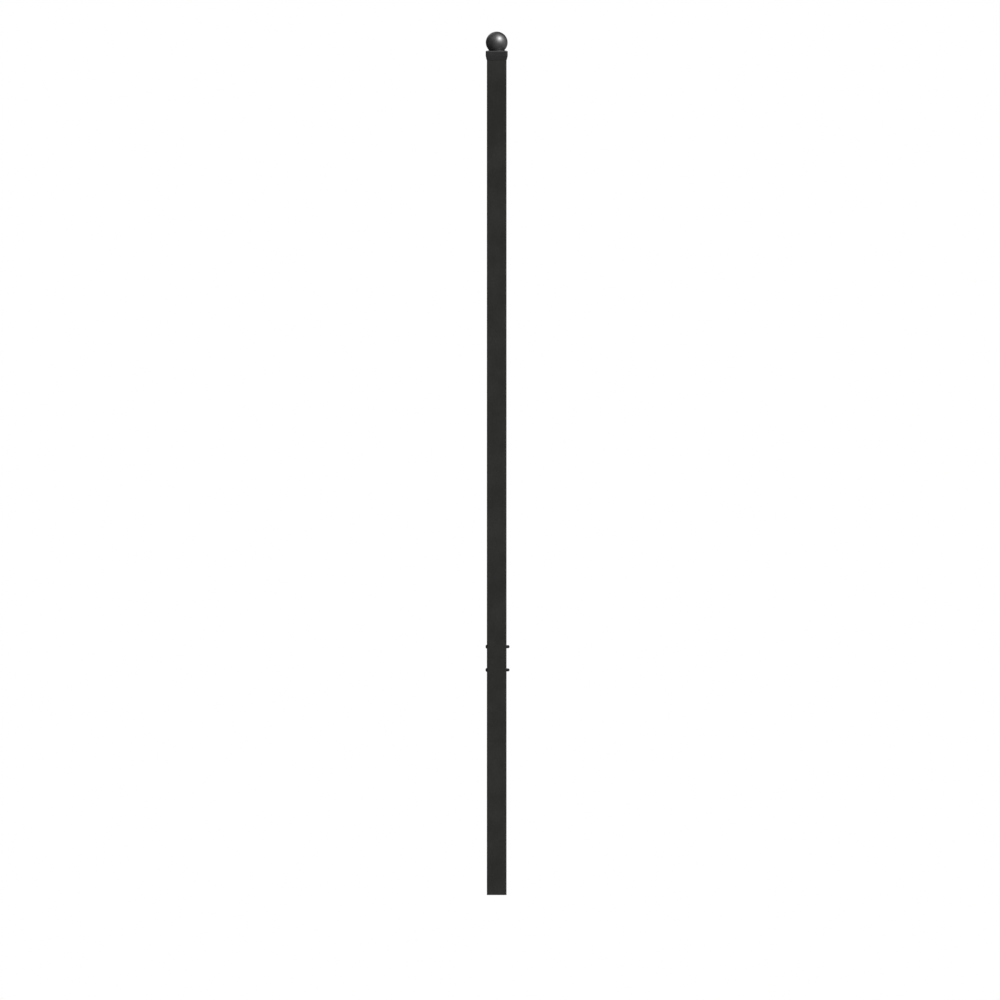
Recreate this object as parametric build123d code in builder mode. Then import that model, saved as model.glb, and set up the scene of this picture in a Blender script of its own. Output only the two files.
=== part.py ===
from build123d import *
import os
from math import sqrt

# A square steel fence post in two lengths, joined over an inner sleeve by two cross bolts,
# and closed by a cast cap with a ball on top.
#
# Millimetres. +Z runs up the post and the origin is the centre of its open foot. The front
# face looks along -Y, the bolt heads are on the -X face and the lock nuts on the +X face.

# The post
overall_height = 87.8 * IN
tube_width = 2 * IN
tube_wall = 1.5
tube_corner_radius = 3.0
tube_end_break = 0.2
seam_height = 611.5

# The inner sleeve, half its length each side of the seam
sleeve_length = 150.0
sleeve_wall = 1.5
sleeve_corner_radius = 3.0
sleeve_clearance = 0.5
sleeve_lead_in = 0.7

# The cross bolts, one through each length of tube
bolt_pitch = 60.0
bolt_diameter = 5.0
bolt_hole_clearance = 0.25
bolt_head_diameter = 9.5
bolt_head_height = 3.7
bolt_head_rim = 1.7
bolt_end_chamfer = 0.6
bolt_end_beyond_nut = 0.9

# The nylon-insert lock nuts: a hexagon with a round collar over the insert
nut_across_flats = 8.0
nut_hexagon_height = 4.7
nut_collar_diameter = 7.2
nut_collar_height = 2.1
nut_collar_radius = 0.8
nut_corner_chamfer = 0.5
thread_clearance = 0.05

# The ball and the collar that it stands on
ball_diameter = 56.5
ball_wall = 2.0
ball_floor = 2.5
neck_diameter = 41.0
neck_height = 1.2
neck_flare = 0.9

# The cap's base: a hipped crown, a square skirt over the tube and a lip that tapers in to it
cap_height = 24.2
cap_plate = 3.5
skirt_clearance = 0.3
skirt_wall = 2.8
cap_corner_radius = 4.0
cap_edge_radius = 2.8
crown_rise = 0.9
crown_width = 43.0
crown_corner_radius = 12.0
lip_height = 10.5
lip_wall = 0.5

# The screw that draws the ball down on to the base, from inside the cap
cap_screw_diameter = 6.0
cap_screw_hole_clearance = 0.3
cap_screw_head_diameter = 12.0
cap_screw_head_height = 3.6
cap_screw_head_rim = 1.6
cap_screw_end_chamfer = 0.8
boss_wall = 3.5
boss_height = 12.0
boss_spare_depth = 1.5

# Heights and widths that follow from the sizes above
tube_bore = tube_width - 2 * tube_wall
tube_face = tube_width / 2
sleeve_width = tube_bore - 2 * sleeve_clearance
sleeve_foot = seam_height - sleeve_length / 2
bolt_heights = {"lower": seam_height - bolt_pitch / 2, "upper": seam_height + bolt_pitch / 2}
bolt_hole_radius = bolt_diameter / 2 + bolt_hole_clearance
nut_height = nut_hexagon_height + nut_collar_height
bolt_length = tube_width + nut_height + bolt_end_beyond_nut

ball_radius = ball_diameter / 2
ball_centre = overall_height - ball_radius
ball_seat = ball_centre - sqrt(ball_radius**2 - (neck_diameter / 2) ** 2)
cap_top = ball_seat - neck_height
cap_shoulder = cap_top - crown_rise
tube_top = cap_top - cap_plate
cap_foot = cap_top - cap_height
lip_top = cap_foot + lip_height
pocket_width = tube_width + 2 * skirt_clearance
pocket_corner_radius = tube_corner_radius + skirt_clearance
cap_width = pocket_width + 2 * skirt_wall
lip_width = pocket_width + 2 * lip_wall
lip_corner_radius = pocket_corner_radius + lip_wall
cap_screw_hole_radius = cap_screw_diameter / 2 + cap_screw_hole_clearance
boss_bore_radius = cap_screw_diameter / 2 + thread_clearance
cap_screw_length = ball_seat + boss_height - boss_spare_depth - tube_top


def square_tube(width, wall, corner_radius, foot, length, end_break):
    """A length of square tube that stands on its foot's height, with both cut ends broken outside."""
    with BuildPart() as tube:
        with BuildSketch(Plane.XY.offset(foot)):
            RectangleRounded(width, width, corner_radius)
            bore = width - 2 * wall
            RectangleRounded(bore, bore, corner_radius - wall, mode=Mode.SUBTRACT)
        extrude(amount=length)
        for end in (0, -1):
            end_face = tube.faces().sort_by(Axis.Z)[end]
            chamfer(end_face.outer_wire().edges(), end_break)
    return tube


def cross_hole(height):
    """A hole along X through both walls of the tube in hand."""
    with Locations(Plane(origin=(0, 0, height), z_dir=(1, 0, 0))):
        Hole(bolt_hole_radius)


def pan_head_screw(seat, diameter, length, end_chamfer, head_diameter, head_height, head_rim):
    """A pan head screw turned about the seat plane's X, with its head below the seat."""
    with BuildPart() as screw:
        with BuildSketch(seat):
            with BuildLine():
                rim = (-head_rim, head_diameter / 2)
                crown = TangentArc((-head_height, 0), rim, tangent=(0, 1))
                Polyline(
                    crown @ 1,
                    (0, head_diameter / 2),
                    (0, diameter / 2),
                    (length - end_chamfer, diameter / 2),
                    (length, diameter / 2 - end_chamfer),
                    (length, 0),
                    crown @ 0,
                )
            make_face()
        revolve(axis=Axis(seat.origin, seat.x_dir))
    return screw


def lock_nut(height):
    """A nylon-insert lock nut, seated on the post's +X face around the bolt at this height."""
    seat = Plane(origin=(tube_face, 0, height), x_dir=(0, 1, 0), z_dir=(1, 0, 0))
    section = Plane(origin=seat.origin, x_dir=seat.z_dir, z_dir=(0, -1, 0))
    corner_reach = nut_across_flats / sqrt(3)
    with BuildPart() as nut:
        with BuildSketch(seat):
            RegularPolygon(nut_across_flats / 2, side_count=6, major_radius=False)
        extrude(amount=nut_hexagon_height)
        with BuildSketch(section):
            with BuildLine():
                Polyline(
                    (0, 0),
                    (0, corner_reach - nut_corner_chamfer),
                    (nut_corner_chamfer / 2, corner_reach),
                    (nut_hexagon_height - nut_corner_chamfer / 2, corner_reach),
                    (nut_hexagon_height, corner_reach - nut_corner_chamfer),
                    (nut_hexagon_height, 0),
                    close=True,
                )
            make_face()
        revolve(axis=Axis(section.origin, section.x_dir), mode=Mode.INTERSECT)
        with BuildSketch(seat.offset(nut_hexagon_height)):
            Circle(nut_collar_diameter / 2)
        extrude(amount=nut_collar_height)
        fillet(nut.edges().sort_by(Axis.X)[-1], nut_collar_radius)
        with Locations(seat):
            Hole(bolt_diameter / 2 + thread_clearance)
    return nut


# The two lengths of tube meet end to end at the seam
with BuildPart() as ground_post_tube:
    ground_length = square_tube(
        tube_width, tube_wall, tube_corner_radius, 0, seam_height, tube_end_break
    )
    add(ground_length.part)
    cross_hole(bolt_heights["lower"])

with BuildPart() as upper_post_tube:
    upper_length = square_tube(
        tube_width, tube_wall, tube_corner_radius, seam_height, tube_top - seam_height, tube_end_break
    )
    add(upper_length.part)
    cross_hole(bolt_heights["upper"])

# The sleeve slides inside both, and its ends are broken further so that it enters them
with BuildPart() as splice_sleeve:
    sleeve_blank = square_tube(
        sleeve_width, sleeve_wall, sleeve_corner_radius, sleeve_foot, sleeve_length, sleeve_lead_in
    )
    add(sleeve_blank.part)
    for height in bolt_heights.values():
        cross_hole(height)

# Each bolt passes along X through tube, sleeve and tube, and its nut is on the far face
splice_bolts = {}
splice_nuts = {}
for place, height in bolt_heights.items():
    splice_bolts[place] = pan_head_screw(
        Plane(origin=(-tube_face, 0, height), x_dir=(1, 0, 0), z_dir=(0, -1, 0)),
        bolt_diameter,
        bolt_length,
        bolt_end_chamfer,
        bolt_head_diameter,
        bolt_head_height,
        bolt_head_rim,
    )
    splice_nuts[place] = lock_nut(height)

# The base is one casting: its plate rests on the tube's end and its skirt goes down over it
with BuildPart() as cap_base:
    with BuildSketch(Plane.XY.offset(lip_top)):
        RectangleRounded(cap_width, cap_width, cap_corner_radius)
    extrude(amount=cap_shoulder - lip_top)
    with BuildSketch(Plane.XY.offset(cap_foot)):
        RectangleRounded(lip_width, lip_width, lip_corner_radius)
    with BuildSketch(Plane.XY.offset(lip_top)):
        RectangleRounded(cap_width, cap_width, cap_corner_radius)
    loft()
    with BuildSketch(Plane.XY.offset(cap_shoulder)):
        RectangleRounded(cap_width, cap_width, cap_corner_radius)
    with BuildSketch(Plane.XY.offset(cap_top)):
        RectangleRounded(crown_width, crown_width, crown_corner_radius)
    loft()
    fillet(cap_base.edges().filter_by_position(Axis.Z, cap_shoulder, cap_shoulder), cap_edge_radius)
    with BuildSketch(Plane.XY.offset(cap_foot)):
        RectangleRounded(pocket_width, pocket_width, pocket_corner_radius)
    extrude(amount=tube_top - cap_foot, mode=Mode.SUBTRACT)
    with Locations((0, 0, cap_top)):
        Hole(cap_screw_hole_radius)

# A thin collar, flared out on to the crown, seats the ball
with BuildPart() as cap_neck:
    with BuildSketch(Plane.XY.offset(cap_top)):
        Circle(neck_diameter / 2 + neck_flare)
    with BuildSketch(Plane.XY.offset(ball_seat)):
        Circle(neck_diameter / 2)
    loft()
    with Locations((0, 0, ball_seat)):
        Hole(cap_screw_hole_radius)

# The ball is a hollow shell, cut flat where it seats, with a tapped boss on its floor
with BuildPart() as cap_ball:
    hollow_radius = ball_radius - ball_wall
    floor_height = ball_seat + ball_floor
    floor_radius = sqrt(hollow_radius**2 - (ball_centre - floor_height) ** 2)
    boss_radius = boss_bore_radius + boss_wall
    boss_top = ball_seat + boss_height
    with BuildSketch(Plane.XZ):
        with BuildLine():
            outside = ThreePointArc(
                (neck_diameter / 2, ball_seat), (ball_radius, ball_centre), (0, overall_height)
            )
            inside = ThreePointArc(
                (0, ball_centre + hollow_radius),
                (hollow_radius, ball_centre),
                (floor_radius, floor_height),
            )
            Line(outside @ 1, inside @ 0)
            Polyline(
                inside @ 1,
                (boss_radius, floor_height),
                (boss_radius, boss_top),
                (boss_bore_radius, boss_top),
                (boss_bore_radius, ball_seat),
                outside @ 0,
            )
        make_face()
    revolve(axis=Axis.Z)

cap_screw = pan_head_screw(
    Plane(origin=(0, 0, tube_top), x_dir=(0, 0, 1), z_dir=(0, 1, 0)),
    cap_screw_diameter,
    cap_screw_length,
    cap_screw_end_chamfer,
    cap_screw_head_diameter,
    cap_screw_head_height,
    cap_screw_head_rim,
)

pieces = {
    "ground_post_tube": ground_post_tube,
    "upper_post_tube": upper_post_tube,
    "splice_sleeve": splice_sleeve,
    "lower_splice_bolt": splice_bolts["lower"],
    "upper_splice_bolt": splice_bolts["upper"],
    "lower_splice_nut": splice_nuts["lower"],
    "upper_splice_nut": splice_nuts["upper"],
    "cap_base": cap_base,
    "cap_neck": cap_neck,
    "cap_ball": cap_ball,
    "cap_screw": cap_screw,
}

os.makedirs("parts", exist_ok=True)
for name, piece in pieces.items():
    piece.part.label = name
    export_step(piece.part, f"parts/{name}.step")
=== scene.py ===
"""The looks of a steel fence post with a ball cap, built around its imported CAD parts."""

import logging
import math
from collections.abc import Sequence
from dataclasses import dataclass, field
from enum import Enum
from typing import Any

import bmesh
import bpy
from mathutils import Matrix, Vector

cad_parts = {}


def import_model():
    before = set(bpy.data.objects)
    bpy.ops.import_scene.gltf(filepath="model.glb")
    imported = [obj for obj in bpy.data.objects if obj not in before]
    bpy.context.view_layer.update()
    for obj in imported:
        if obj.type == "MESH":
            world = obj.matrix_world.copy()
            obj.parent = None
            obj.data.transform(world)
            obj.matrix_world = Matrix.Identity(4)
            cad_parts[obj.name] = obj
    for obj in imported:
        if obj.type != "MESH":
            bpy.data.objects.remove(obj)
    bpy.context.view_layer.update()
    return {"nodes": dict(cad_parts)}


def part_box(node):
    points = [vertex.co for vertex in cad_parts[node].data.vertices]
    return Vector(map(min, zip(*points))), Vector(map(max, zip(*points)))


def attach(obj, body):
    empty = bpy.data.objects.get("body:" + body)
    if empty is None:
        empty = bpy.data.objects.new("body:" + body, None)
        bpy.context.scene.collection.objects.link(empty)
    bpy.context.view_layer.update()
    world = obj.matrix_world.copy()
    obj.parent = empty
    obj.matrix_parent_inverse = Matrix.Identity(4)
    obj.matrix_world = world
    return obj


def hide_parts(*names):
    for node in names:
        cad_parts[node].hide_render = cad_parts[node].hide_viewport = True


frame: dict[str, Any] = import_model()

log = logging.getLogger("fence_post")

MM = 0.001
ROOT_BODY = "root"

# The range that most of a noise lies in, and the range of two noises added up
NOISE_ENDS = {"From Min": 0.3, "From Max": 0.7}
TWO_NOISES_ENDS = {"From Min": 0.7, "From Max": 1.3}

# Edges flatter than this many degrees are shaded smooth on most pieces
SMOOTH_BELOW = 35.0

# The side on which the key lamp and its softbox stand
KEY_SIDE = (0.471, -0.593, 0.653)

# The points of a ring in order, and an outline that is turned, as heights with their radii
Ring = list[Vector]
Profile = list[tuple[float, float]]


class CoatSlot(Enum):
    """The record's material slots that the new pieces belong to."""

    POST = "post_coat"
    BLACK_FASTENER = "black_fastener"


def linear(hex_colour: str) -> tuple[float, float, float, float]:
    """Turns an sRGB hex colour into Blender's linear one.

    Args:
        hex_colour: The colour, such as #1d1d1c.

    Returns:
        Linear red, green and blue, with a full alpha.
    """
    channels = []
    for place in (1, 3, 5):
        value = int(hex_colour[place : place + 2], 16) / 255
        # The curve of the sRGB standard, which is straight near black and a power above it
        channels.append(value / 12.92 if value <= 0.04045 else ((value + 0.055) / 1.055) ** 2.4)
    return (channels[0], channels[1], channels[2], 1.0)


def add_node(
    tree: bpy.types.NodeTree,
    kind: str,
    inputs: dict[str | int, Any] | None = None,
    **settings: Any,
) -> bpy.types.Node:
    """Adds a node with its settings, values and links.

    Args:
        tree: The node tree that the node goes into.
        kind: The node's type, such as ShaderNodeTexNoise.
        inputs: A value or another node's output for each input, by name or number.
        **settings: The node's own properties.

    Returns:
        The new node.
    """
    node = tree.nodes.new(kind)
    for name, value in settings.items():
        setattr(node, name, value)
    for key, value in (inputs or {}).items():
        if isinstance(value, bpy.types.NodeSocket):
            tree.links.new(value, node.inputs[key])
        else:
            node.inputs[key].default_value = value
    return node


def per_metre(pattern_mm: float) -> float:
    """Gives the texture scale at which a pattern repeats about every so many millimetres."""
    return 1.0 / (pattern_mm * MM)


def two_tones(
    tree: bpy.types.NodeTree, pattern: bpy.types.NodeSocket, colour: str, shade: str
) -> bpy.types.NodeSocket:
    """Lets one colour drift to another and back in the patches of a noise pattern.

    Args:
        tree: The material's node tree.
        pattern: The noise.
        colour: The colour where the noise is low.
        shade: The colour where it is high.

    Returns:
        The drifting colour.
    """
    share = add_node(
        tree,
        "ShaderNodeMapRange",
        {"Value": pattern, **NOISE_ENDS},
        interpolation_type="SMOOTHSTEP",
    ).outputs["Result"]
    tones = {"Factor": share, "A": linear(colour), "B": linear(shade)}
    return add_node(tree, "ShaderNodeMix", tones, data_type="RGBA").outputs["Result"]


@dataclass(frozen=True)
class Finish:
    """What every surface finish has. Each kind of finish adds its own pattern.

    Attributes:
        name: The material's name.
        colour: Its main colour.
        shade: The colour that it drifts to in patches.
        roughness: Its mean roughness.
    """

    name: str
    colour: str
    shade: str
    roughness: float

    def material(self) -> bpy.types.Material:
        """Gives the finish's material, which is made the first time that it is asked for.

        Returns:
            The material.
        """
        made = bpy.data.materials.get(self.name)
        if made is None:
            made = bpy.data.materials.new(self.name)
            made.use_nodes = True
            made.node_tree.nodes.clear()
            shader = self.shader(made.node_tree)
            add_node(made.node_tree, "ShaderNodeOutputMaterial", {"Surface": shader.outputs[0]})
        return made

    def shader(self, tree: bpy.types.NodeTree) -> bpy.types.Node:
        """Builds the finish's nodes and gives the shader node that the surface shows."""
        raise NotImplementedError

    def patches(
        self, tree: bpy.types.NodeTree, pattern: bpy.types.NodeSocket, low: float, high: float
    ) -> dict[str, Any]:
        """Lets the finish's colour and roughness drift together with a noise.

        Args:
            tree: The material's node tree.
            pattern: The noise.
            low: How much rougher than its mean it is where the noise is low. Below zero, it
                is smoother.
            high: The same where the noise is high.

        Returns:
            The shader's colour and roughness.
        """
        gloss = add_node(
            tree,
            "ShaderNodeMapRange",
            {
                "Value": pattern,
                **NOISE_ENDS,
                "To Min": self.roughness + low,
                "To Max": self.roughness + high,
            },
            interpolation_type="SMOOTHSTEP",
        )
        return {
            "Base Color": two_tones(tree, pattern, self.colour, self.shade),
            "Roughness": gloss.outputs["Result"],
        }


@dataclass(frozen=True)
class PowderCoat(Finish):
    """Polyester powder, sprayed on charged and baked to a satin skin.

    The eye sees a near-black satin face whose highlights have soft edges, with the faint
    orange peel that the powder leaves as it flows out.

    Attributes:
        peel_mm: The pitch of the orange peel.
        peel_height_mm: How high its waves are.
        cloud_mm: The size of the patches where the film is a little thicker.
        grain_mm: The pitch of the finest unevenness. The real grains are near 0.05 mm, far too
            fine to show, so they are drawn as coarse as this.
        gloss_drift: How much the roughness drifts either way as the film's thickness changes.
        ior: The cured resin's, raised where the powder holds a little metallic flake.
        skin_weight: How much of a clear skin lies over the pigment.
        skin_roughness: How soft that skin's reflections are.
    """

    peel_mm: float = 2.6
    peel_height_mm: float = 0.05
    cloud_mm: float = 60.0
    grain_mm: float = 0.7
    gloss_drift: float = 0.04
    ior: float = 1.5
    skin_weight: float = 0.0
    skin_roughness: float = 0.2

    def surface(self, tree: bpy.types.NodeTree) -> dict[str, Any]:
        """Builds the coat's colour, roughness and relief.

        Args:
            tree: The material's node tree.

        Returns:
            A value or an output for each input of the shader.
        """
        place = add_node(tree, "ShaderNodeTexCoord").outputs["Object"]
        cloud, grain, peel = (
            add_node(
                tree,
                "ShaderNodeTexNoise",
                {"Vector": place, "Scale": per_metre(size_mm), "Detail": detail},
            ).outputs[0]
            for size_mm, detail in ((self.cloud_mm, 2.0), (self.grain_mm, 1.0), (self.peel_mm, 1.5))
        )
        thickness = add_node(tree, "ShaderNodeMath", {0: cloud, 1: grain}, operation="ADD")
        gloss = add_node(
            tree,
            "ShaderNodeMapRange",
            {
                "Value": thickness.outputs[0],
                **TWO_NOISES_ENDS,
                "To Min": self.roughness - self.gloss_drift,
                "To Max": self.roughness + self.gloss_drift,
            },
            interpolation_type="SMOOTHSTEP",
        )
        relief = add_node(
            tree, "ShaderNodeBump", {"Distance": self.peel_height_mm * MM, "Height": peel}
        )
        return {
            "Base Color": two_tones(tree, cloud, self.colour, self.shade),
            "Roughness": gloss.outputs[0],
            "Normal": relief.outputs[0],
            "IOR": self.ior,
            "Coat Weight": self.skin_weight,
            "Coat Roughness": self.skin_roughness,
        }

    def shader(self, tree: bpy.types.NodeTree) -> bpy.types.Node:
        """Builds the coat's nodes."""
        return add_node(tree, "ShaderNodeBsdfPrincipled", self.surface(tree))


@dataclass(frozen=True)
class TubeCoat(PowderCoat):
    """Powder coat on the outside of a tube, whose bore stays mill-bare steel.

    Up the open end the eye sees the black overspray thin out into grey steel with the long
    streaks of the rolling mill.

    Attributes:
        bore_edge: Further from the tube's centre than this, in either way, is its outside.
        spray_reach: How far up the overspray starts to thin out, and has ended, at the most.
        spray_drift: How much lower than that its ragged edge may be.
        spray_patch_mm: The size of that edge's patches.
        steel: The bare steel's colour.
        steel_shade: The colour of its streaks.
        streak_mm: The width of a streak.
        streak_squeeze: How much the noise is squeezed along the tube, which draws it out.
        steel_roughness: The bare steel's roughness.
        steel_glint: How much of the metal shows through its mill oxide.
    """

    bore_edge: float = 24.2 * MM
    spray_reach: tuple[float, float] = (8 * MM, 48 * MM)
    spray_drift: float = 40 * MM
    spray_patch_mm: float = 9.0
    steel: str = "#8c8e90"
    steel_shade: str = "#5d5b58"
    streak_mm: float = 1.4
    streak_squeeze: float = 0.03
    steel_roughness: float = 0.42
    steel_glint: float = 0.45

    def bare_share(
        self, tree: bpy.types.NodeTree, place: bpy.types.NodeSocket
    ) -> bpy.types.NodeSocket:
        """Finds where the steel is bare: in the bore, above the ragged edge of the overspray.

        Args:
            tree: The material's node tree.
            place: The position on the object.

        Returns:
            A share of 1 where the steel is bare, and 0 where it is coated.
        """
        x, y, z = add_node(tree, "ShaderNodeSeparateXYZ", {0: place}).outputs
        across = {
            i: add_node(tree, "ShaderNodeMath", {0: axis}, operation="ABSOLUTE").outputs[0]
            for i, axis in enumerate((x, y))
        }
        reach = add_node(tree, "ShaderNodeMath", across, operation="MAXIMUM").outputs[0]
        inside = add_node(
            tree, "ShaderNodeMath", {0: reach, 1: self.bore_edge}, operation="LESS_THAN"
        ).outputs[0]
        wander = add_node(
            tree,
            "ShaderNodeTexNoise",
            {"Vector": place, "Scale": per_metre(self.spray_patch_mm), "Detail": 3.0},
        ).outputs[0]
        height = add_node(
            tree, "ShaderNodeMath", {0: wander, 1: self.spray_drift, 2: z}, operation="MULTIPLY_ADD"
        ).outputs[0]
        solid, end = self.spray_reach
        unsprayed = add_node(
            tree,
            "ShaderNodeMapRange",
            {"Value": height, "From Min": solid, "From Max": end},
            interpolation_type="SMOOTHSTEP",
        ).outputs[0]
        return add_node(
            tree, "ShaderNodeMath", {0: inside, 1: unsprayed}, operation="MULTIPLY"
        ).outputs[0]

    def streaked_steel(
        self, tree: bpy.types.NodeTree, place: bpy.types.NodeSocket
    ) -> bpy.types.NodeSocket:
        """Builds the bare steel's colour, streaked along the tube.

        Args:
            tree: The material's node tree.
            place: The position on the object.

        Returns:
            The colour.
        """
        squeezed = add_node(
            tree,
            "ShaderNodeVectorMath",
            {0: place, 1: (1.0, 1.0, self.streak_squeeze)},
            operation="MULTIPLY",
        ).outputs[0]
        streaks = add_node(
            tree,
            "ShaderNodeTexNoise",
            {"Vector": squeezed, "Scale": per_metre(self.streak_mm), "Detail": 3.0},
        ).outputs[0]
        return two_tones(tree, streaks, self.steel, self.steel_shade)

    def shader(self, tree: bpy.types.NodeTree) -> bpy.types.Node:
        """Builds the coat's nodes, with the bare bore blended in.

        Args:
            tree: The material's node tree.

        Returns:
            The shader node that the surface shows.
        """
        coat = self.surface(tree)
        place = add_node(tree, "ShaderNodeTexCoord").outputs["Object"]
        bare = self.bare_share(tree, place)
        tones = {"Factor": bare, "A": coat["Base Color"], "B": self.streaked_steel(tree, place)}
        gloss = {"Factor": bare, "A": coat["Roughness"], "B": self.steel_roughness}
        glint = {0: bare, 1: self.steel_glint}
        mixed = add_node(tree, "ShaderNodeMix", tones, data_type="RGBA")
        coat["Base Color"] = mixed.outputs["Result"]
        coat["Roughness"] = add_node(tree, "ShaderNodeMix", gloss, data_type="FLOAT").outputs[0]
        coat["Metallic"] = add_node(tree, "ShaderNodeMath", glint, operation="MULTIPLY").outputs[0]
        return add_node(tree, "ShaderNodeBsdfPrincipled", coat)


@dataclass(frozen=True)
class BlackOxideSteel(Finish):
    """Carbon steel screws, blackened in a hot alkaline bath and oiled.

    The eye sees a dark crust with a little of the metal's glint through it, whose soft, oily
    edges vary from patch to patch.

    Attributes:
        stain_mm: The size of the patches where the oil lies thicker.
        dry_gain: How much rougher than its mean the steel is where it is dry.
        oily_loss: How much smoother it is where the oil lies thick.
        tooth_mm: The pitch of the crust's unevenness.
        tooth_height_mm: How high that is.
        glint: How much of the metal shows through the oxide.
    """

    stain_mm: float = 2.5
    dry_gain: float = 0.08
    oily_loss: float = 0.06
    tooth_mm: float = 0.35
    tooth_height_mm: float = 0.006
    glint: float = 0.35

    def shader(self, tree: bpy.types.NodeTree) -> bpy.types.Node:
        """Builds the steel's nodes.

        Args:
            tree: The material's node tree.

        Returns:
            The shader node that the surface shows.
        """
        place = add_node(tree, "ShaderNodeTexCoord").outputs["Object"]
        stain, tooth = (
            add_node(
                tree,
                "ShaderNodeTexNoise",
                {"Vector": place, "Scale": per_metre(size_mm), "Detail": detail},
            ).outputs[0]
            for size_mm, detail in ((self.stain_mm, 3.0), (self.tooth_mm, 2.0))
        )
        relief = add_node(
            tree, "ShaderNodeBump", {"Distance": self.tooth_height_mm * MM, "Height": tooth}
        )
        return add_node(
            tree,
            "ShaderNodeBsdfPrincipled",
            {
                **self.patches(tree, stain, self.dry_gain, -self.oily_loss),
                "Metallic": self.glint,
                "Normal": relief.outputs[0],
            },
        )


@dataclass(frozen=True)
class BrightZinc(Finish):
    """Steel screws, electroplated with zinc and passivated.

    The eye sees a cool, bright metal with a faint haze that varies from patch to patch.

    Attributes:
        haze_mm: The size of a patch of haze.
        clear_loss: How much smoother than its mean the plating is where it is clear.
        haze_gain: How much rougher it is where it is hazed.
    """

    haze_mm: float = 3.0
    clear_loss: float = 0.05
    haze_gain: float = 0.1

    def shader(self, tree: bpy.types.NodeTree) -> bpy.types.Node:
        """Builds the plating's nodes.

        Args:
            tree: The material's node tree.

        Returns:
            The shader node that the surface shows.
        """
        place = add_node(tree, "ShaderNodeTexCoord").outputs["Object"]
        haze = add_node(
            tree,
            "ShaderNodeTexNoise",
            {"Vector": place, "Scale": per_metre(self.haze_mm), "Detail": 4.0},
        ).outputs[0]
        plating = self.patches(tree, haze, -self.clear_loss, self.haze_gain)
        return add_node(tree, "ShaderNodeBsdfPrincipled", {**plating, "Metallic": 1.0})


@dataclass(frozen=True)
class GalvanisedSteel(Finish):
    """Sheet steel, dipped in molten zinc, that the sleeve is rolled from.

    The eye sees the spangle: flat crystals side by side, each with its own grey and gloss.

    Attributes:
        spangle_mm: The width of a crystal.
        step_mm: The height of the step between crystals.
        gloss_drift: How much the roughness differs either way from crystal to crystal.
    """

    spangle_mm: float = 7.0
    step_mm: float = 0.01
    gloss_drift: float = 0.1

    def shader(self, tree: bpy.types.NodeTree) -> bpy.types.Node:
        """Builds the zinc's nodes.

        Args:
            tree: The material's node tree.

        Returns:
            The shader node that the surface shows.
        """
        place = add_node(tree, "ShaderNodeTexCoord").outputs["Object"]
        crystals = add_node(
            tree, "ShaderNodeTexVoronoi", {"Vector": place, "Scale": per_metre(self.spangle_mm)}
        )
        grey, level, shine = add_node(
            tree, "ShaderNodeSeparateColor", {0: crystals.outputs["Color"]}
        ).outputs
        tones = {"Factor": grey, "A": linear(self.colour), "B": linear(self.shade)}
        mixed = add_node(tree, "ShaderNodeMix", tones, data_type="RGBA")
        gloss = add_node(
            tree,
            "ShaderNodeMapRange",
            {
                "Value": shine,
                "To Min": self.roughness - self.gloss_drift,
                "To Max": self.roughness + self.gloss_drift,
            },
            interpolation_type="SMOOTHSTEP",
        )
        relief = add_node(tree, "ShaderNodeBump", {"Distance": self.step_mm * MM, "Height": level})
        return add_node(
            tree,
            "ShaderNodeBsdfPrincipled",
            {
                "Base Color": mixed.outputs["Result"],
                "Metallic": 1.0,
                "Roughness": gloss.outputs[0],
                "Normal": relief.outputs[0],
            },
        )


@dataclass(frozen=True)
class MouldedNylon(Finish):
    """Polyamide rings, injection moulded and pressed into the lock nuts.

    The eye sees a dull, slightly waxy plastic that is a shade softer than the steel round it.

    Attributes:
        flow_mm: The size of the marks that the melt leaves as it flows.
        gloss_drift: How much the roughness drifts either way between them.
        ior: The plastic's.
    """

    flow_mm: float = 1.2
    gloss_drift: float = 0.05
    ior: float = 1.53

    def shader(self, tree: bpy.types.NodeTree) -> bpy.types.Node:
        """Builds the plastic's nodes.

        Args:
            tree: The material's node tree.

        Returns:
            The shader node that the surface shows.
        """
        place = add_node(tree, "ShaderNodeTexCoord").outputs["Object"]
        flow = add_node(
            tree,
            "ShaderNodeTexNoise",
            {"Vector": place, "Scale": per_metre(self.flow_mm), "Detail": 2.0},
        ).outputs[0]
        plastic = self.patches(tree, flow, -self.gloss_drift, self.gloss_drift)
        return add_node(tree, "ShaderNodeBsdfPrincipled", {**plastic, "IOR": self.ior})


@dataclass(frozen=True)
class StudioPaper(Finish):
    """A matt paper sweep on the studio floor, which shows the post's shadow.

    Seen from below it is clear, so that the post's open foot can be looked into.

    Attributes:
        fibre_mm: The size of the paper's faint clouds.
    """

    fibre_mm: float = 900.0

    def shader(self, tree: bpy.types.NodeTree) -> bpy.types.Node:
        """Builds the paper's nodes.

        Args:
            tree: The material's node tree.

        Returns:
            The shader node that the surface shows.
        """
        place = add_node(tree, "ShaderNodeTexCoord").outputs["Object"]
        fibre = add_node(
            tree,
            "ShaderNodeTexNoise",
            {"Vector": place, "Scale": per_metre(self.fibre_mm), "Detail": 2.0},
        ).outputs[0]
        tones = {"Color": two_tones(tree, fibre, self.colour, self.shade)}
        paper = add_node(tree, "ShaderNodeBsdfDiffuse", tones).outputs[0]
        clear = add_node(tree, "ShaderNodeBsdfTransparent").outputs[0]
        underside = add_node(tree, "ShaderNodeNewGeometry").outputs["Backfacing"]
        return add_node(tree, "ShaderNodeMixShader", {0: underside, 1: paper, 2: clear})


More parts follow.
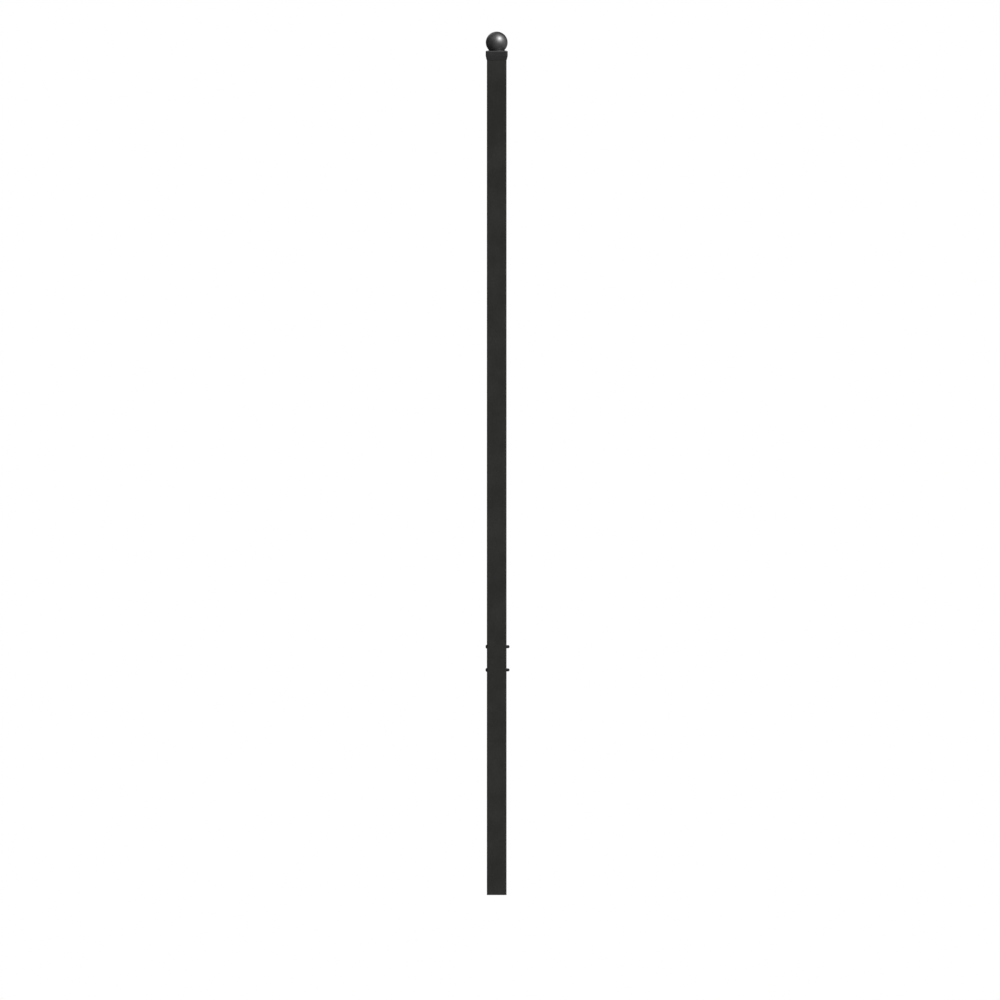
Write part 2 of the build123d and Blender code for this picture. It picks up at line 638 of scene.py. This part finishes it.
POST_COAT = TubeCoat("satin_powder_coat_on_tube", "#242422", "#282826", 0.34, ior=1.45)
CAST_COAT = PowderCoat(
    "satin_powder_coat_on_casting", "#1d1d1c", "#202020", 0.31, peel_mm=3.2, ior=1.76
)
BALL_COAT = PowderCoat(
    "flake_powder_coat_on_ball",
    "#1c1c1c",
    "#1f1f1f",
    0.47,
    peel_mm=3.2,
    peel_height_mm=0.035,
    ior=2.25,
    skin_weight=0.94,
    skin_roughness=0.495,
)
BLACK_SCREW_STEEL = BlackOxideSteel("black_oxide_steel", "#29292b", "#1d1d1f", 0.36)
ZINC_SCREW_STEEL = BrightZinc("bright_zinc_plated_steel", "#c4c8cc", "#a9adb2", 0.3)
SLEEVE_STEEL = GalvanisedSteel("galvanised_sleeve_steel", "#b4b8ba", "#85898c", 0.4)
NUT_NYLON = MouldedNylon("moulded_nylon", "#1b1c1f", "#222327", 0.5)
FLOOR_PAPER = StudioPaper("matt_studio_paper", "#efefed", "#eeeeec", 1.0)


def round_ring(height: float, radii: Sequence[float]) -> Ring:
    """Gives a ring of points that stand evenly round Z, each at its own radius.

    Args:
        height: The ring's height.
        radii: The points' radii.

    Returns:
        The points, in order.
    """
    turn = 2 * math.pi / len(radii)
    return [
        Vector((radius * math.cos(i * turn), radius * math.sin(i * turn), height))
        for i, radius in enumerate(radii)
    ]


def arc(
    middle: tuple[float, float], radius: float, start: float, end: float, steps: int
) -> Profile:
    """Gives the points of an arc in an outline.

    Args:
        middle: Its centre, as height and radius.
        radius: Its own radius.
        start: Its first angle from the axis, in degrees.
        end: Its last angle from the axis, in degrees.
        steps: How many spans it has.

    Returns:
        The points, as heights with their radii.
    """
    angles = [math.radians(start + (end - start) * i / steps) for i in range(steps + 1)]
    return [
        (middle[0] + radius * math.cos(a), middle[1] + radius * math.sin(a)) for a in angles
    ]


def skin_rings(rings: Sequence[Ring], closed: bool) -> bmesh.types.BMesh:
    """Skins rings of equally many points into one closed solid.

    Args:
        rings: The rings, in order.
        closed: Whether the last ring joins the first, as round a torus. If not, each end is
            closed by a fan about its ring's middle.

    Returns:
        The solid's mesh.
    """
    mesh = bmesh.new()
    rows = [[mesh.verts.new(point) for point in ring] for ring in rings]
    steps = len(rows[0])
    pairs = list(zip(rows, rows[1:])) + ([(rows[-1], rows[0])] if closed else [])
    for lower, upper in pairs:
        for i in range(steps):
            j = (i + 1) % steps
            mesh.faces.new((lower[i], lower[j], upper[j], upper[i]))
    if not closed:
        for row in (rows[0], rows[-1]):
            middle = mesh.verts.new(sum((v.co for v in row), Vector()) / steps)
            for i in range(steps):
                mesh.faces.new((row[i], row[(i + 1) % steps], middle))
    bmesh.ops.recalc_face_normals(mesh, faces=mesh.faces)
    return mesh


def spin_outlines(outlines: Sequence[Profile]) -> bmesh.types.BMesh:
    """Skins closed outlines that stand evenly round Z into one solid with a bore.

    Args:
        outlines: The outline at each angle in turn.

    Returns:
        The solid's mesh.
    """
    turn = 2 * math.pi / len(outlines)
    rings = []
    for i, outline in enumerate(outlines):
        around = Vector((math.cos(i * turn), math.sin(i * turn), 0.0))
        rings.append([around * radius + Vector((0.0, 0.0, height)) for height, radius in outline])
    return skin_rings(rings, closed=True)


def put_in_scene(name: str, mesh: bmesh.types.BMesh) -> bpy.types.Object:
    """Turns a mesh into an object in the scene.

    Args:
        name: The object's name.
        mesh: Its mesh, which is used up.

    Returns:
        The object.
    """
    data = bpy.data.meshes.new(name)
    mesh.to_mesh(data)
    mesh.free()
    made = bpy.data.objects.new(name, data)
    bpy.context.scene.collection.objects.link(made)
    return made


def smooth_edges(data: bpy.types.Mesh, below: float) -> None:
    """Shades a mesh smooth across its edges that are flatter than so many degrees."""
    data.shade_smooth()
    data.set_sharp_from_angle(angle=math.radians(below))


def apply_modifiers(piece: bpy.types.Object) -> None:
    """Puts a piece's modifiers into its mesh.

    Args:
        piece: The piece, which has none afterwards.
    """
    bpy.context.view_layer.update()
    seen = piece.evaluated_get(bpy.context.evaluated_depsgraph_get())
    old = piece.data
    name = old.name
    piece.data = bpy.data.meshes.new_from_object(seen)
    piece.modifiers.clear()
    bpy.data.meshes.remove(old)
    piece.data.name = name


@dataclass
class SubAssembly:
    """What every sub-assembly does with its pieces.

    Attributes:
        pieces: The names of what it has built or dressed.
    """

    pieces: list[str] = field(default_factory=list, init=False)

    def keep(self, node: str, finish: Finish) -> None:
        """Gives a CAD node its finish.

        Args:
            node: The node's name.
            finish: The finish that it shows.
        """
        piece = frame["nodes"][node]
        for place in piece.material_slots:
            place.material = finish.material()
        self.pieces.append(node)
        log.info("%s keeps its CAD shape, in %s", node, finish.name)

    def new_piece(
        self,
        name: str,
        mesh: bmesh.types.BMesh,
        finish: Finish,
        slot: CoatSlot,
        smooth_below: float = SMOOTH_BELOW,
    ) -> bpy.types.Object:
        """Turns a mesh into a piece that goes with the post.

        Args:
            name: The piece's name.
            mesh: Its mesh, which is used up.
            finish: The finish that it shows.
            slot: The record's slot that the finish belongs to. It is not used.
            smooth_below: Edges flatter than this many degrees are shaded smooth.

        Returns:
            The piece.
        """
        piece = put_in_scene(name, mesh)
        smooth_edges(piece.data, smooth_below)
        piece.data.materials.append(finish.material())
        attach(piece, ROOT_BODY)
        self.pieces.append(name)
        log.info("%s: %d faces, in %s", name, len(piece.data.polygons), finish.name)
        return piece


@dataclass
class PostTubes(SubAssembly):
    """The two lengths of square tube, the sleeve inside them and the tubes' weld seams.

    Attributes:
        wall: The tube's wall.
        bead_width: The width of the weld bead along the inside of the back wall.
        bead_height: How far it stands off the wall once it is planed down.
        bead_sink: How far it runs into the wall that it grows from.
        bead_steps: How many spans its rounded top has.
        smooth_below: Its edges flatter than this many degrees are shaded smooth.
        end_gap: How far it stops short of each cut end.
        ripple: The pitch of the ripples along it.
        wander: How much its width and height vary, as a share.
        ripple_share: How much of that the ripples make up.
        swell_share: How much of it the swells under them make up.
        long_swell: How fast the long swells follow each other, in radians for each metre.
        short_swell: How fast the short ones do.
        short_lag: Where the short ones start, in radians.
        short_share: How high the short ones are beside the long ones.
    """

    wall: float = 1.5 * MM
    bead_width: float = 2.6 * MM
    bead_height: float = 0.3 * MM
    bead_sink: float = 0.05 * MM
    bead_steps: int = 6
    smooth_below: float = 60.0
    end_gap: float = 0.3 * MM
    ripple: float = 5 * MM
    wander: float = 0.18
    ripple_share: float = 0.3
    swell_share: float = 0.4
    long_swell: float = 37.0
    short_swell: float = 211.0
    short_lag: float = 1.0
    short_share: float = 0.6

    def build(self) -> None:
        """Builds the weld beads and dresses the tubes and the sleeve."""
        for node in ("ground_post_tube", "upper_post_tube"):
            self.keep(node, POST_COAT)
            self.weld_bead(node)
        self.keep("splice_sleeve", SLEEVE_STEEL)

    def weld_bead(self, node: str) -> None:
        """Builds the bead that the tube mill's weld leaves inside one length.

        Args:
            node: The tube that it runs along.
        """
        low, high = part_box(node)
        wall_face = high.y - self.wall
        foot, head = low.z + self.end_gap, high.z - self.end_gap
        # Each ripple has two spans, up to its crest and down again
        spans = round((head - foot) / self.ripple * 2)
        rings = []
        for i in range(spans + 1):
            height = foot + (head - foot) * i / spans
            swell = self.bead_swell(height, on_crest=i % 2 == 1)
            rings.append(self.bead_section(wall_face, height, swell))
        name = node.replace("post_tube", "tube_weld_bead")
        mesh = skin_rings(rings, closed=False)
        self.new_piece(name, mesh, POST_COAT, CoatSlot.POST, self.smooth_below)

    def bead_swell(self, height: float, on_crest: bool) -> float:
        """Gives how much larger than its mean size the bead is at one height.

        Args:
            height: The height.
            on_crest: Whether a ripple's crest lies there, and not its trough.

        Returns:
            The bead's size there, where 1 is its mean.
        """
        long_wave = math.sin(height * self.long_swell)
        short_wave = math.sin(height * self.short_swell + self.short_lag)
        drift = long_wave + self.short_share * short_wave
        ripple = self.ripple_share if on_crest else -self.ripple_share
        return 1 + self.wander * (self.swell_share * drift + ripple)

    def bead_section(self, wall_face: float, height: float, swell: float) -> Ring:
        """Gives the bead's outline at one height.

        Args:
            wall_face: Where the wall's inner face lies along Y.
            height: The height of the section.
            swell: How much larger than its mean size it is there.

        Returns:
            The outline's points.
        """
        half, rise = self.bead_width / 2 * swell, self.bead_height * swell
        crown = [
            Vector((half * across, wall_face - rise * off_wall, height))
            for across, off_wall in arc((0.0, 0.0), 1.0, 0.0, 180.0, self.bead_steps)
        ]
        root = [
            Vector((side * half, wall_face + self.bead_sink, height)) for side in (-1, 1)
        ]
        return crown + root


@dataclass
class SpliceFasteners(SubAssembly):
    """The two cross bolts with their lock nuts: pan head screws with a cross recess.

    Attributes:
        places: The fasteners' places on the post.
        screw_steps: How many sides the screw's rounds have.
        diameter: The thread's outer size.
        pitch: The thread's pitch.
        rings_per_turn: How many rings of points each turn of the thread has.
        thread_depth: How deep the thread is.
        thread_length: How much of the screw is threaded.
        flank_gain: How steep the thread's flanks are, where 1 spreads them over the whole pitch.
        crest_flat: How much of a flank is cut off for the flat crest, as a share of the depth.
        end_chamfer: The chamfer on the screw's end.
        crown_eye: The angle from the axis at which the head's first ring lies, in degrees.
        crown_steps: How many spans there are from it to the rim.
        head_rim: The height of the head's straight rim.
        rim_round: The rounding of the rim's outer edge. Its lower edge has half of this.
        rim_curve: How far down and how far in the rounding's points lie, as shares.
        recess_reach: How far each wing of the cross recess reaches from the axis.
        recess_wing: Half the width of a wing.
        recess_corner: How far out the corners between two wings lie, in half widths of a wing.
        recess_depth: How deep the recess is.
        recess_taper: How much narrower it is at its floor, as a share.
        mouth_depth: How deep its steeper mouth reaches.
        mouth_flare: How much wider than the mouth's foot its cutter starts, as a share.
        cutter_rise: How far above the head's tip the cutter starts.
        nut_steps: How many sides the nut's rounds have.
        across_flats: The nut's hexagon.
        hexagon_height: How high the hexagon is.
        corner_chamfer: The chamfer on the hexagon's corners.
        least_chamfer: How much of it is kept where its cone misses the flats, as a share.
        collar_diameter: The round collar over the nylon ring.
        collar_round: The rounding where the collar is rolled in over the ring.
        collar_steps: How many spans that rounding has.
        collar_mouth: The opening that the roll leaves.
        lip_drop: How far down the slope on the opening's lip reaches.
        lip_flare: How far outwards it reaches.
        bore: The nut's bore.
        ring_bore: The nylon ring's bore.
        ring_sink: How far the ring lies below the collar's lip.
        ring_height: How high the ring is.
        ring_tuck: How far the ring runs into the collar that grips it.
        ring_edge: The chamfer on the ring's upper inner edge.
    """

    places: tuple[str, ...] = ("lower", "upper")
    screw_steps: int = 32
    diameter: float = 5 * MM
    pitch: float = 0.8 * MM
    rings_per_turn: int = 8
    thread_depth: float = 0.49 * MM
    thread_length: float = 38 * MM
    flank_gain: float = 1.25
    crest_flat: float = 0.12
    end_chamfer: float = 0.6 * MM
    crown_eye: float = 1.5
    crown_steps: int = 14
    head_rim: float = 1.7 * MM
    rim_round: float = 0.3 * MM
    rim_curve: tuple[tuple[float, float], ...] = ((0.35, 0.38), (0.7, 0.1), (1.0, 0.0))
    recess_reach: float = 2.35 * MM
    recess_wing: float = 0.62 * MM
    recess_corner: float = 1.25
    recess_depth: float = 2.3 * MM
    recess_taper: float = 0.45
    mouth_depth: float = 0.3 * MM
    mouth_flare: float = 0.1
    cutter_rise: float = 0.5 * MM
    nut_steps: int = 72
    across_flats: float = 8 * MM
    hexagon_height: float = 4.7 * MM
    corner_chamfer: float = 0.5 * MM
    least_chamfer: float = 0.03
    collar_diameter: float = 7.2 * MM
    collar_round: float = 0.8 * MM
    collar_steps: int = 6
    collar_mouth: float = 5.8 * MM
    lip_drop: float = 0.2 * MM
    lip_flare: float = 0.06 * MM
    bore: float = 5.1 * MM
    ring_bore: float = 5.04 * MM
    ring_sink: float = 0.3 * MM
    ring_height: float = 1.4 * MM
    ring_tuck: float = 0.3 * MM
    ring_edge: float = 0.12 * MM

    def build(self) -> None:
        """Builds each bolt with its nut and the nylon ring in it."""
        for place in self.places:
            self.bolt(f"{place}_splice_bolt")
            self.nut(f"{place}_splice_nut")

    @staticmethod
    def across(node: str) -> Matrix:
        """Gives the move from a solid that stands on Z to one that lies along X.

        Args:
            node: The node whose axis it takes, with its foot at the node's low end.

        Returns:
            The move.
        """
        low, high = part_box(node)
        middle = (low + high) / 2
        turn = Matrix.Rotation(math.pi / 2, 4, "Y")
        return Matrix.Translation((low.x, middle.y, middle.z)) @ turn

    def bolt(self, node: str) -> None:
        """Builds a screw with its rolled thread and its cross recess, in place of its node.

        Args:
            node: The bolt's CAD node.
        """
        low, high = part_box(node)
        tube_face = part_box("ground_post_tube")[0].x
        length = high.x - low.x
        head = self.head_profile(tube_face - low.x, (high.y - low.y) / 2)
        shank_end = (length - self.thread_length, self.diameter / 2)
        rings = [
            round_ring(height, [radius] * self.screw_steps) for height, radius in [*head, shank_end]
        ]
        mesh = skin_rings(rings + self.thread_rings(length), closed=False)
        mesh.transform(self.across(node))
        piece = self.new_piece(
            node + "_threaded", mesh, BLACK_SCREW_STEEL, CoatSlot.BLACK_FASTENER
        )
        self.cut_recess(piece, node)
        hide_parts(node)

    def head_profile(self, height: float, radius: float) -> Profile:
        """Gives the head's outline, from the middle of its crown to the screw's shank.

        Args:
            height: The head's height.
            radius: The head's radius.

        Returns:
            Heights above the crown's tip, each with its radius.
        """
        crown_height = height - self.head_rim
        crown_radius = (radius**2 + crown_height**2) / (2 * crown_height)
        sweep = math.degrees(math.asin((radius - self.rim_round) / crown_radius))
        crown = arc(
            (crown_radius, 0.0), crown_radius, 180 - self.crown_eye, 180 - sweep, self.crown_steps
        )
        brow = crown[-1][0]
        drop = crown_height - brow + self.rim_round
        rim = [
            (brow + drop * down, radius - self.rim_round * inwards)
            for down, inwards in self.rim_curve
        ]
        lower_round = self.rim_round / 2
        under = [
            (height - lower_round, radius),
            (height - lower_round / 3, radius - lower_round / 3),
            (height, radius - lower_round),
            (height, self.diameter / 2),
        ]
        return crown + rim + under

    def thread_rings(self, length: float) -> list[Ring]:
        """Gives the thread's rings, from its start on the shank to the screw's end.

        Args:
            length: The screw's length.

        Returns:
            The rings.
        """
        spans = round(self.thread_length / self.pitch * self.rings_per_turn)
        turn = 2 * math.pi / self.screw_steps
        rings = []
        for i in range(1, spans + 1):
            from_end = self.thread_length * (1 - i / spans)
            radii = [self.thread_radius(from_end, k * turn) for k in range(self.screw_steps)]
            rings.append(round_ring(length - from_end, radii))
        return rings

    def thread_radius(self, from_end: float, angle: float) -> float:
        """Gives the screw's radius at a place on its thread.

        Args:
            from_end: How far the place lies from the screw's end.
            angle: Its angle round the axis.

        Returns:
            The radius there.
        """
        run_out = min(1.0, max(0.0, (self.thread_length - from_end) / self.pitch))
        wave = (from_end / self.pitch + angle / (2 * math.pi)) % 1.0
        fall = self.flank_gain * (1 - abs(2 * wave - 1)) - self.crest_flat
        groove = min(1.0, max(0.0, fall))
        thread = self.diameter / 2 - self.thread_depth * groove * run_out
        cone = self.diameter / 2 - self.end_chamfer + from_end
        return min(thread, cone)

    def cut_recess(self, piece: bpy.types.Object, node: str) -> None:
        """Cuts the cross recess into a screw's head.

        Args:
            piece: The screw.
            node: The CAD node in whose place it lies.
        """
        wing, reach = self.recess_wing, self.recess_reach
        corner = wing * self.recess_corner
        outline = []
        for quarter in range(4):
            turn = Matrix.Rotation(quarter * math.pi / 2, 3, "Z")
            for x, y in ((reach, -wing), (reach, wing), (corner, corner)):
                outline.append(turn @ Vector((x, y, 0.0)))
        sections = (
            (-self.cutter_rise, 1 + self.mouth_flare),
            (self.mouth_depth, 1.0),
            (self.recess_depth, 1 - self.recess_taper),
        )
        rings = [
            [point * share + Vector((0.0, 0.0, depth)) for point in outline]
            for depth, share in sections
        ]
        mesh = skin_rings(rings, closed=False)
        mesh.transform(self.across(node))
        cutter = put_in_scene("recess_cutter", mesh)
        cut = piece.modifiers.new("cross_recess", "BOOLEAN")
        cut.operation = "DIFFERENCE"
        cut.solver = "EXACT"
        cut.object = cutter
        apply_modifiers(piece)
        smooth_edges(piece.data, SMOOTH_BELOW)
        bpy.data.objects.remove(cutter)

    def nut(self, node: str) -> None:
        """Builds a lock nut, and the nylon ring in its collar, in place of its node.

        Args:
            node: The nut's CAD node.
        """
        low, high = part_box(node)
        height = high.x - low.x
        turn = 2 * math.pi / self.nut_steps
        mesh = spin_outlines([self.nut_section(height, i * turn) for i in range(self.nut_steps)])
        mesh.transform(self.across(node))
        piece = self.new_piece(
            node + "_crimped", mesh, BLACK_SCREW_STEEL, CoatSlot.BLACK_FASTENER
        )
        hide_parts(node)

        mesh = spin_outlines([self.ring_section(height)] * self.nut_steps)
        mesh.transform(self.across(node))
        self.new_piece(node + "_nylon_ring", mesh, NUT_NYLON, CoatSlot.BLACK_FASTENER)

    def nut_section(self, height: float, angle: float) -> Profile:
        """Gives the closed outline of the nut's wall at one angle.

        Args:
            height: The whole nut's height.
            angle: The angle round its axis. The flats face up and down the post.

        Returns:
            Heights above the seat, each with its radius.
        """
        flat = math.pi / 3
        off_middle = (angle + flat / 2) % flat - flat / 2
        flat_radius = self.across_flats / 2 / math.cos(off_middle)
        cone_foot = self.across_flats / math.sqrt(3) - self.corner_chamfer
        cut_radius = min(flat_radius, cone_foot)
        # The least chamfer keeps the count of points where the cone misses the flats
        rise = max(self.least_chamfer * self.corner_chamfer, flat_radius - cone_foot) / 2
        collar, mouth = self.collar_diameter / 2, self.collar_mouth / 2
        ledge = height - self.ring_sink - self.ring_height
        roll_middle = (height - self.collar_round, collar - self.collar_round)
        return [
            (0.0, self.bore / 2),
            (0.0, cut_radius),
            (rise, flat_radius),
            (self.hexagon_height - rise, flat_radius),
            (self.hexagon_height, cut_radius),
            (self.hexagon_height, collar),
            *arc(roll_middle, self.collar_round, 90.0, 0.0, self.collar_steps),
            (height, mouth + self.lip_flare),
            (height - self.lip_drop, mouth),
            (ledge, mouth),
            (ledge, self.bore / 2),
        ]

    def ring_section(self, height: float) -> Profile:
        """Gives the closed outline of the nylon ring.

        Args:
            height: The whole nut's height.

        Returns:
            Heights above the nut's seat, each with its radius.
        """
        top = height - self.ring_sink
        bottom = top - self.ring_height
        inner, outer = self.ring_bore / 2, self.collar_mouth / 2 + self.ring_tuck
        return [
            (bottom, inner),
            (bottom, outer),
            (top, outer),
            (top, inner + self.ring_edge),
            (top - self.ring_edge, inner),
        ]


@dataclass
class BallCap(SubAssembly):
    """The cast cap: its hipped base, the collar, the ball and the screw from inside."""

    def build(self) -> None:
        """Dresses the cap's pieces, whose CAD shapes are right."""
        self.keep("cap_base", CAST_COAT)
        self.keep("cap_neck", CAST_COAT)
        self.keep("cap_ball", BALL_COAT)
        self.keep("cap_screw", ZINC_SCREW_STEEL)


@dataclass(frozen=True)
class SoftSun:
    """A lamp that lights the post evenly along its whole height.

    Attributes:
        name: Its name.
        towards: The direction in which it stands.
        strength: Its irradiance.
        spread: How wide it looks, in degrees.
    """

    name: str
    towards: tuple[float, float, float]
    strength: float
    spread: float

    def build(self) -> None:
        """Puts the lamp into the scene."""
        data = bpy.data.lights.new(self.name, "SUN")
        data.energy = self.strength
        data.angle = math.radians(self.spread)
        lamp = bpy.data.objects.new(self.name, data)
        lamp.rotation_mode = "QUATERNION"
        lamp.rotation_quaternion = Vector(self.towards).to_track_quat("Z", "Y")
        bpy.context.scene.collection.objects.link(lamp)


@dataclass(frozen=True)
class StudioCard:
    """A pale card or softbox that shows only as a reflection.

    Attributes:
        towards: The direction in which it stands.
        core: The half-angle within which it is full, in degrees.
        edge: The half-angle at which it has faded out, in degrees.
        brightness: How bright it is, where 1 is white.
    """

    towards: tuple[float, float, float]
    core: float
    edge: float
    brightness: float


@dataclass
class Studio:
    """The floor, the light and the camera.

    Attributes:
        mm_per_pixel: The photograph's scale.
        picture_side: The picture's width and height in pixels.
        post_column: Where the post's middle stands in the picture.
        foot_row: Where the post's foot stands in the picture.
        camera_distance: How far in front of the post the camera stands.
        camera_reach: How far the camera sees.
        floor_radius: How far the floor reaches.
        floor_steps: How many sides its rim has.
        floor_hole: Half the width of the hole in it, which the post's wall covers.
        ambient: How bright the room is to matt surfaces.
        room_reflection: How bright the room is between its cards, in reflections.
        suns: The lamps.
        cards: What glossy surfaces reflect.
    """

    mm_per_pixel: float = 2.5827
    picture_side: int = 1000
    post_column: float = 496.70
    foot_row: float = 895.05
    camera_distance: float = 6.0
    camera_reach: float = 100.0
    floor_radius: float = 40.0
    floor_steps: int = 96
    floor_hole: float = 24.5 * MM
    ambient: float = 0.45
    room_reflection: float = 0.0
    suns: tuple[SoftSun, ...] = (
        SoftSun("key_sun", KEY_SIDE, 2.15, 14.0),
        SoftSun("left_sun", (-0.58, -0.42, 0.7), 0.13, 22.0),
        SoftSun("back_sun", (-0.35, 0.75, 0.56), 0.22, 40.0),
    )
    cards: tuple[StudioCard, ...] = (
        StudioCard((0.0, 1.0, 0.0), 8.0, 22.0, 1.0),
        StudioCard(KEY_SIDE, 15.0, 39.0, 1.95),
        StudioCard((1.0, -0.1, 0.15), 15.0, 57.0, 0.34),
        StudioCard((0.0, -1.0, 0.0), 24.0, 60.0, 0.116),
        StudioCard((0.0, -0.9, -0.44), 8.0, 26.0, 0.1),
        StudioCard((0.64, 0.77, -0.62), 8.0, 32.0, 0.25),
        StudioCard((0.0, 0.0, 1.0), 10.0, 33.0, 0.26),
        StudioCard((-1.0, 0.0, 0.05), 15.0, 40.0, 0.06),
        StudioCard((0.0, 0.0, -1.0), 20.0, 51.0, 0.165),
    )

    def build(self) -> None:
        """Builds the floor, the light and the camera."""
        self.build_floor()
        self.build_world()
        for sun in self.suns:
            sun.build()
        self.build_camera()
        bpy.context.scene.view_settings.view_transform = "Standard"
        log.info("studio: %d suns and %d cards", len(self.suns), len(self.cards))

    def build_floor(self) -> None:
        """Builds the round pale floor, open under the post's bore so that light reaches into it."""
        mesh = bmesh.new()
        rim = round_ring(0.0, [self.floor_radius] * self.floor_steps)
        hole = [point * (self.floor_hole / max(abs(point.x), abs(point.y))) for point in rim]
        outer, inner = ([mesh.verts.new(point) for point in ring] for ring in (rim, hole))
        for i in range(self.floor_steps):
            j = (i + 1) % self.floor_steps
            mesh.faces.new((outer[i], outer[j], inner[j], inner[i]))
        floor = put_in_scene("studio_floor", mesh)
        floor.data.materials.append(FLOOR_PAPER.material())
        floor.visible_glossy = False

    def build_world(self) -> None:
        """Builds the room: white behind the post, with soft cards for what is glossy."""
        world = bpy.data.worlds.new("studio_room")
        world.use_nodes = True
        world.cycles.sampling_method = "NONE"
        bpy.context.scene.world = world
        tree = world.node_tree
        tree.nodes.clear()
        direction = add_node(tree, "ShaderNodeTexCoord").outputs["Generated"]
        seen: Any = self.room_reflection
        for card in self.cards:
            facing = add_node(
                tree,
                "ShaderNodeVectorMath",
                {0: direction, 1: Vector(card.towards).normalized()},
                operation="DOT_PRODUCT",
            ).outputs["Value"]
            edge, core = (math.cos(math.radians(angle)) for angle in (card.edge, card.core))
            glow = add_node(
                tree,
                "ShaderNodeMapRange",
                {"Value": facing, "From Min": edge, "From Max": core, "To Max": card.brightness},
                interpolation_type="SMOOTHSTEP",
            ).outputs[0]
            seen = add_node(tree, "ShaderNodeMath", {0: seen, 1: glow}, operation="ADD").outputs[0]
        path = add_node(tree, "ShaderNodeLightPath").outputs
        reflected = add_node(
            tree,
            "ShaderNodeMath",
            {0: path["Is Glossy Ray"], 1: path["Is Transmission Ray"]},
            operation="MAXIMUM",
        ).outputs[0]
        room = add_node(
            tree,
            "ShaderNodeMix",
            {"Factor": reflected, "A": self.ambient, "B": seen},
            data_type="FLOAT",
        ).outputs[0]
        white = add_node(
            tree,
            "ShaderNodeMix",
            {"Factor": path["Is Camera Ray"], "A": room, "B": 1.0},
            data_type="FLOAT",
        ).outputs[0]
        light = add_node(tree, "ShaderNodeBackground", {"Color": white})
        add_node(tree, "ShaderNodeOutputWorld", {"Surface": light.outputs[0]})

    def build_camera(self) -> None:
        """Builds the camera, straight in front of the post with no perspective."""
        centre = self.picture_side / 2
        data = bpy.data.cameras.new("catalogue_camera")
        data.type = "ORTHO"
        data.ortho_scale = self.picture_side * self.mm_per_pixel * MM
        data.clip_end = self.camera_reach
        camera = bpy.data.objects.new("catalogue_camera", data)
        camera.location = (
            (centre - self.post_column) * self.mm_per_pixel * MM,
            -self.camera_distance,
            (self.foot_row - centre) * self.mm_per_pixel * MM,
        )
        camera.rotation_euler = (math.pi / 2, 0.0, 0.0)
        bpy.context.scene.collection.objects.link(camera)
        bpy.context.scene.camera = camera


def main() -> None:
    """Builds the post and its studio."""
    logging.basicConfig(level=logging.INFO, format="%(name)s: %(message)s")
    Studio().build()
    for assembly in (PostTubes(), SpliceFasteners(), BallCap()):
        assembly.build()
        log.info("%s: %d pieces", type(assembly).__name__, len(assembly.pieces))


if __name__ == "__main__":
    main()
